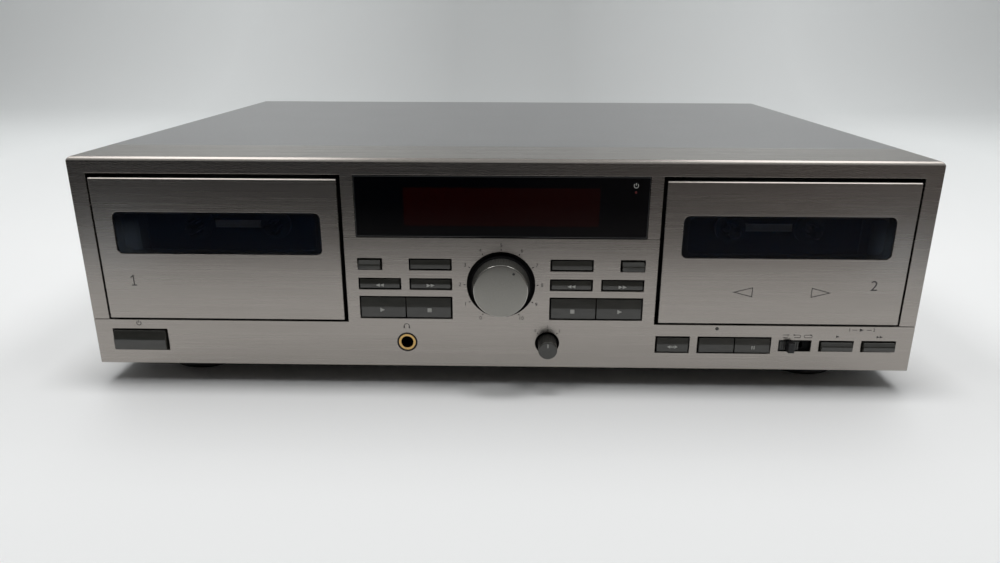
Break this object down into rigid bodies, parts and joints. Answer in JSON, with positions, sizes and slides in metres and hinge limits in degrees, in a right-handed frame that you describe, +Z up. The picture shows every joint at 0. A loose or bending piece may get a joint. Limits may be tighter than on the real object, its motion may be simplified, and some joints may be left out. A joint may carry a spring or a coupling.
{
  "type": "double cassette deck",
  "caption": "Full-width double cassette deck with hinged tape doors, transport keys, a dark display and a large level knob, on round feet.",
  "frame": {"origin": "on the plane under the feet, midway across the box of the whole deck", "axes": "+X to the right of the front, +Y from the front to the back, +Z up"},
  "size_m": [0.4388, 0.3328, 0.123],
  "materials": {
    "satin_metal": "fine horizontal brushing",
    "cover_paint": "satin paint",
    "black_plastic": "moulded, fine texture",
    "key_plastic": "satin moulded",
    "knob_face": "satin, fine spun face",
    "door_glass": "dark tint",
    "display_glass": "gloss black tint",
    "tube_glass": "dark red",
    "zinc_sheet": "plated sheet",
    "machine_steel": "turned steel",
    "plated_socket": "nickel plate",
    "brass": "turned brass",
    "belt_rubber": "matt",
    "foot_plastic": "moulded",
    "board": "paper board",
    "iron_core": "varnished laminations",
    "reel_plastic": "moulded",
    "bar_plastic": "pale moulded",
    "screw_steel": "black zinc",
    "motor_can": "plated can"
  },
  "bodies": {
    "case": {"bottom_chassis": "zinc_sheet", "rear_panel": "zinc_sheet", "top_cover": "cover_paint", "upper_fascia": "satin_metal", "lower_fascia": "satin_metal", "fascia_frame": "black_plastic", "display_window": "display_glass", "display_tube": "tube_glass", "feet": "foot_plastic", "case_screws": "screw_steel", "line_jack_block": "black_plastic", "line_jack_sleeves": "plated_socket", "mains_gland": "black_plastic", "front_boards": "board", "main_board": "board", "transformer": "iron_core", "phones_jack": "black_plastic", "panel_controls": "motor_can", "mechanism_plates": "zinc_sheet", "reflector_bars": "bar_plastic", "drive_motors": "motor_can", "drive_belts": "belt_rubber"},
    "door_a": {"door_panel_a": "satin_metal", "door_window_a": "door_glass", "cassette_holder_a": "black_plastic"},
    "door_b": {"door_panel_b": "satin_metal", "door_window_b": "door_glass", "cassette_holder_b": "black_plastic"},
    "power_key": {"power_key": "key_plastic"},
    "a_eject_key": {"a_eject_key": "key_plastic"},
    "a_reset_key": {"a_reset_key": "key_plastic"},
    "a_rewind_key": {"a_rewind_key": "key_plastic"},
    "a_forward_key": {"a_forward_key": "key_plastic"},
    "a_play_key": {"a_play_key": "key_plastic"},
    "a_stop_key": {"a_stop_key": "key_plastic"},
    "b_eject_key": {"b_eject_key": "key_plastic"},
    "b_reset_key": {"b_reset_key": "key_plastic"},
    "b_rewind_key": {"b_rewind_key": "key_plastic"},
    "b_forward_key": {"b_forward_key": "key_plastic"},
    "b_play_key": {"b_play_key": "key_plastic"},
    "b_stop_key": {"b_stop_key": "key_plastic"},
    "direction_key": {"direction_key": "key_plastic"},
    "record_key": {"record_key": "key_plastic"},
    "pause_key": {"pause_key": "key_plastic"},
    "normal_dub_key": {"normal_dub_key": "key_plastic"},
    "high_dub_key": {"high_dub_key": "key_plastic"},
    "level_knob": {"level_knob": "knob_face"},
    "nr_knob": {"nr_knob": "key_plastic"},
    "reverse_lever": {"reverse_lever": "black_plastic"},
    "reel_a_left": {"reel_a_left": "reel_plastic"},
    "reel_a_right": {"reel_a_right": "reel_plastic"},
    "reel_b_left": {"reel_b_left": "reel_plastic"},
    "reel_b_right": {"reel_b_right": "reel_plastic"},
    "capstan_a": {"capstan_a": "machine_steel"},
    "capstan_b_left": {"capstan_b_left": "machine_steel"},
    "capstan_b_right": {"capstan_b_right": "machine_steel"},
    "motor_pulley_a": {"motor_pulley_a": "brass"},
    "motor_pulley_b": {"motor_pulley_b": "brass"},
    "head_block_a": {"head_block_a": "machine_steel"},
    "head_block_b": {"head_block_b": "machine_steel"}
  },
  "joints": [
    {"name": "door_a_hinge", "type": "hinge", "parent": "case", "child": "door_a", "pos_m": [-0.1449, -0.1508, 0.033], "axis": [1, 0, 0], "range_deg": [0, 22], "stiffness_Nm_per_rad": 0.12},
    {"name": "door_b_hinge", "type": "hinge", "parent": "case", "child": "door_b", "pos_m": [0.1449, -0.1508, 0.033], "axis": [1, 0, 0], "range_deg": [0, 22], "stiffness_Nm_per_rad": 0.12},
    {"name": "power_key_press", "type": "slide", "parent": "case", "child": "power_key", "axis": [0, 1, 0], "range_m": [0, 0.0026], "stiffness_N_per_m": 400},
    {"name": "a_eject_key_press", "type": "slide", "parent": "case", "child": "a_eject_key", "axis": [0, 1, 0], "range_m": [0, 0.0028], "stiffness_N_per_m": 400},
    {"name": "a_reset_key_press", "type": "slide", "parent": "case", "child": "a_reset_key", "axis": [0, 1, 0], "range_m": [0, 0.0012], "stiffness_N_per_m": 400},
    {"name": "a_rewind_key_press", "type": "slide", "parent": "case", "child": "a_rewind_key", "axis": [0, 1, 0], "range_m": [0, 0.0012], "stiffness_N_per_m": 400},
    {"name": "a_forward_key_press", "type": "slide", "parent": "case", "child": "a_forward_key", "axis": [0, 1, 0], "range_m": [0, 0.0012], "stiffness_N_per_m": 400},
    {"name": "a_play_key_press", "type": "slide", "parent": "case", "child": "a_play_key", "axis": [0, 1, 0], "range_m": [0, 0.0012], "stiffness_N_per_m": 400},
    {"name": "a_stop_key_press", "type": "slide", "parent": "case", "child": "a_stop_key", "axis": [0, 1, 0], "range_m": [0, 0.0012], "stiffness_N_per_m": 400},
    {"name": "b_eject_key_press", "type": "slide", "parent": "case", "child": "b_eject_key", "axis": [0, 1, 0], "range_m": [0, 0.0028], "stiffness_N_per_m": 400},
    {"name": "b_reset_key_press", "type": "slide", "parent": "case", "child": "b_reset_key", "axis": [0, 1, 0], "range_m": [0, 0.0012], "stiffness_N_per_m": 400},
    {"name": "b_rewind_key_press", "type": "slide", "parent": "case", "child": "b_rewind_key", "axis": [0, 1, 0], "range_m": [0, 0.0012], "stiffness_N_per_m": 400},
    {"name": "b_forward_key_press", "type": "slide", "parent": "case", "child": "b_forward_key", "axis": [0, 1, 0], "range_m": [0, 0.0012], "stiffness_N_per_m": 400},
    {"name": "b_play_key_press", "type": "slide", "parent": "case", "child": "b_play_key", "axis": [0, 1, 0], "range_m": [0, 0.0012], "stiffness_N_per_m": 400},
    {"name": "b_stop_key_press", "type": "slide", "parent": "case", "child": "b_stop_key", "axis": [0, 1, 0], "range_m": [0, 0.0012], "stiffness_N_per_m": 400},
    {"name": "direction_key_press", "type": "slide", "parent": "case", "child": "direction_key", "axis": [0, 1, 0], "range_m": [0, 0.0012], "stiffness_N_per_m": 400},
    {"name": "record_key_press", "type": "slide", "parent": "case", "child": "record_key", "axis": [0, 1, 0], "range_m": [0, 0.0012], "stiffness_N_per_m": 400},
    {"name": "pause_key_press", "type": "slide", "parent": "case", "child": "pause_key", "axis": [0, 1, 0], "range_m": [0, 0.0012], "stiffness_N_per_m": 400},
    {"name": "normal_dub_key_press", "type": "slide", "parent": "case", "child": "normal_dub_key", "axis": [0, 1, 0], "range_m": [0, 0.0012], "stiffness_N_per_m": 400},
    {"name": "high_dub_key_press", "type": "slide", "parent": "case", "child": "high_dub_key", "axis": [0, 1, 0], "range_m": [0, 0.0012], "stiffness_N_per_m": 400},
    {"name": "level_turn", "type": "hinge", "parent": "case", "child": "level_knob", "pos_m": [0, -0.1556, 0.0575], "axis": [0, 1, 0], "range_deg": [-190, 110]},
    {"name": "nr_turn", "type": "hinge", "parent": "case", "child": "nr_knob", "pos_m": [0.0247, -0.1556, 0.02485], "axis": [0, 1, 0], "range_deg": [-30, 30]},
    {"name": "reverse_slide", "type": "slide", "parent": "case", "child": "reverse_lever", "axis": [1, 0, 0], "range_m": [0, 0.006]},
    {"name": "reel_a_left_turn", "type": "hinge", "parent": "case", "child": "reel_a_left", "pos_m": [-0.16615, -0.1556, 0.0818], "axis": [0, 1, 0], "continuous": true},
    {"name": "reel_a_right_turn", "type": "hinge", "parent": "case", "child": "reel_a_right", "pos_m": [-0.12365, -0.1556, 0.0818], "axis": [0, 1, 0], "continuous": true},
    {"name": "reel_b_left_turn", "type": "hinge", "parent": "case", "child": "reel_b_left", "pos_m": [0.12365, -0.1556, 0.0818], "axis": [0, 1, 0], "continuous": true},
    {"name": "reel_b_right_turn", "type": "hinge", "parent": "case", "child": "reel_b_right", "pos_m": [0.16615, -0.1556, 0.0818], "axis": [0, 1, 0], "continuous": true},
    {"name": "capstan_a_turn", "type": "hinge", "parent": "case", "child": "capstan_a", "pos_m": [-0.1229, -0.1556, 0.0555], "axis": [0, 1, 0], "continuous": true},
    {"name": "capstan_b_left_turn", "type": "hinge", "parent": "case", "child": "capstan_b_left", "pos_m": [0.1229, -0.1556, 0.0555], "axis": [0, 1, 0], "continuous": true},
    {"name": "capstan_b_right_turn", "type": "hinge", "parent": "case", "child": "capstan_b_right", "pos_m": [0.1669, -0.1556, 0.0555], "axis": [0, 1, 0], "continuous": true},
    {"name": "motor_pulley_a_turn", "type": "hinge", "parent": "case", "child": "motor_pulley_a", "pos_m": [-0.1649, -0.1556, 0.095], "axis": [0, 1, 0], "continuous": true},
    {"name": "motor_pulley_b_turn", "type": "hinge", "parent": "case", "child": "motor_pulley_b", "pos_m": [0.1249, -0.1556, 0.095], "axis": [0, 1, 0], "continuous": true},
    {"name": "head_block_a_lift", "type": "slide", "parent": "case", "child": "head_block_a", "axis": [0, 0, 1], "range_m": [0, 0.005]},
    {"name": "head_block_b_lift", "type": "slide", "parent": "case", "child": "head_block_b", "axis": [0, 0, 1], "range_m": [0, 0.005]}
  ],
  "couplings": [
    {"joint": "motor_pulley_a_turn", "follows": "capstan_a_turn", "ratio": 6.25},
    {"joint": "motor_pulley_b_turn", "follows": "capstan_b_right_turn", "ratio": 6.25},
    {"joint": "capstan_b_left_turn", "follows": "capstan_b_right_turn", "ratio": -1}
  ]
}
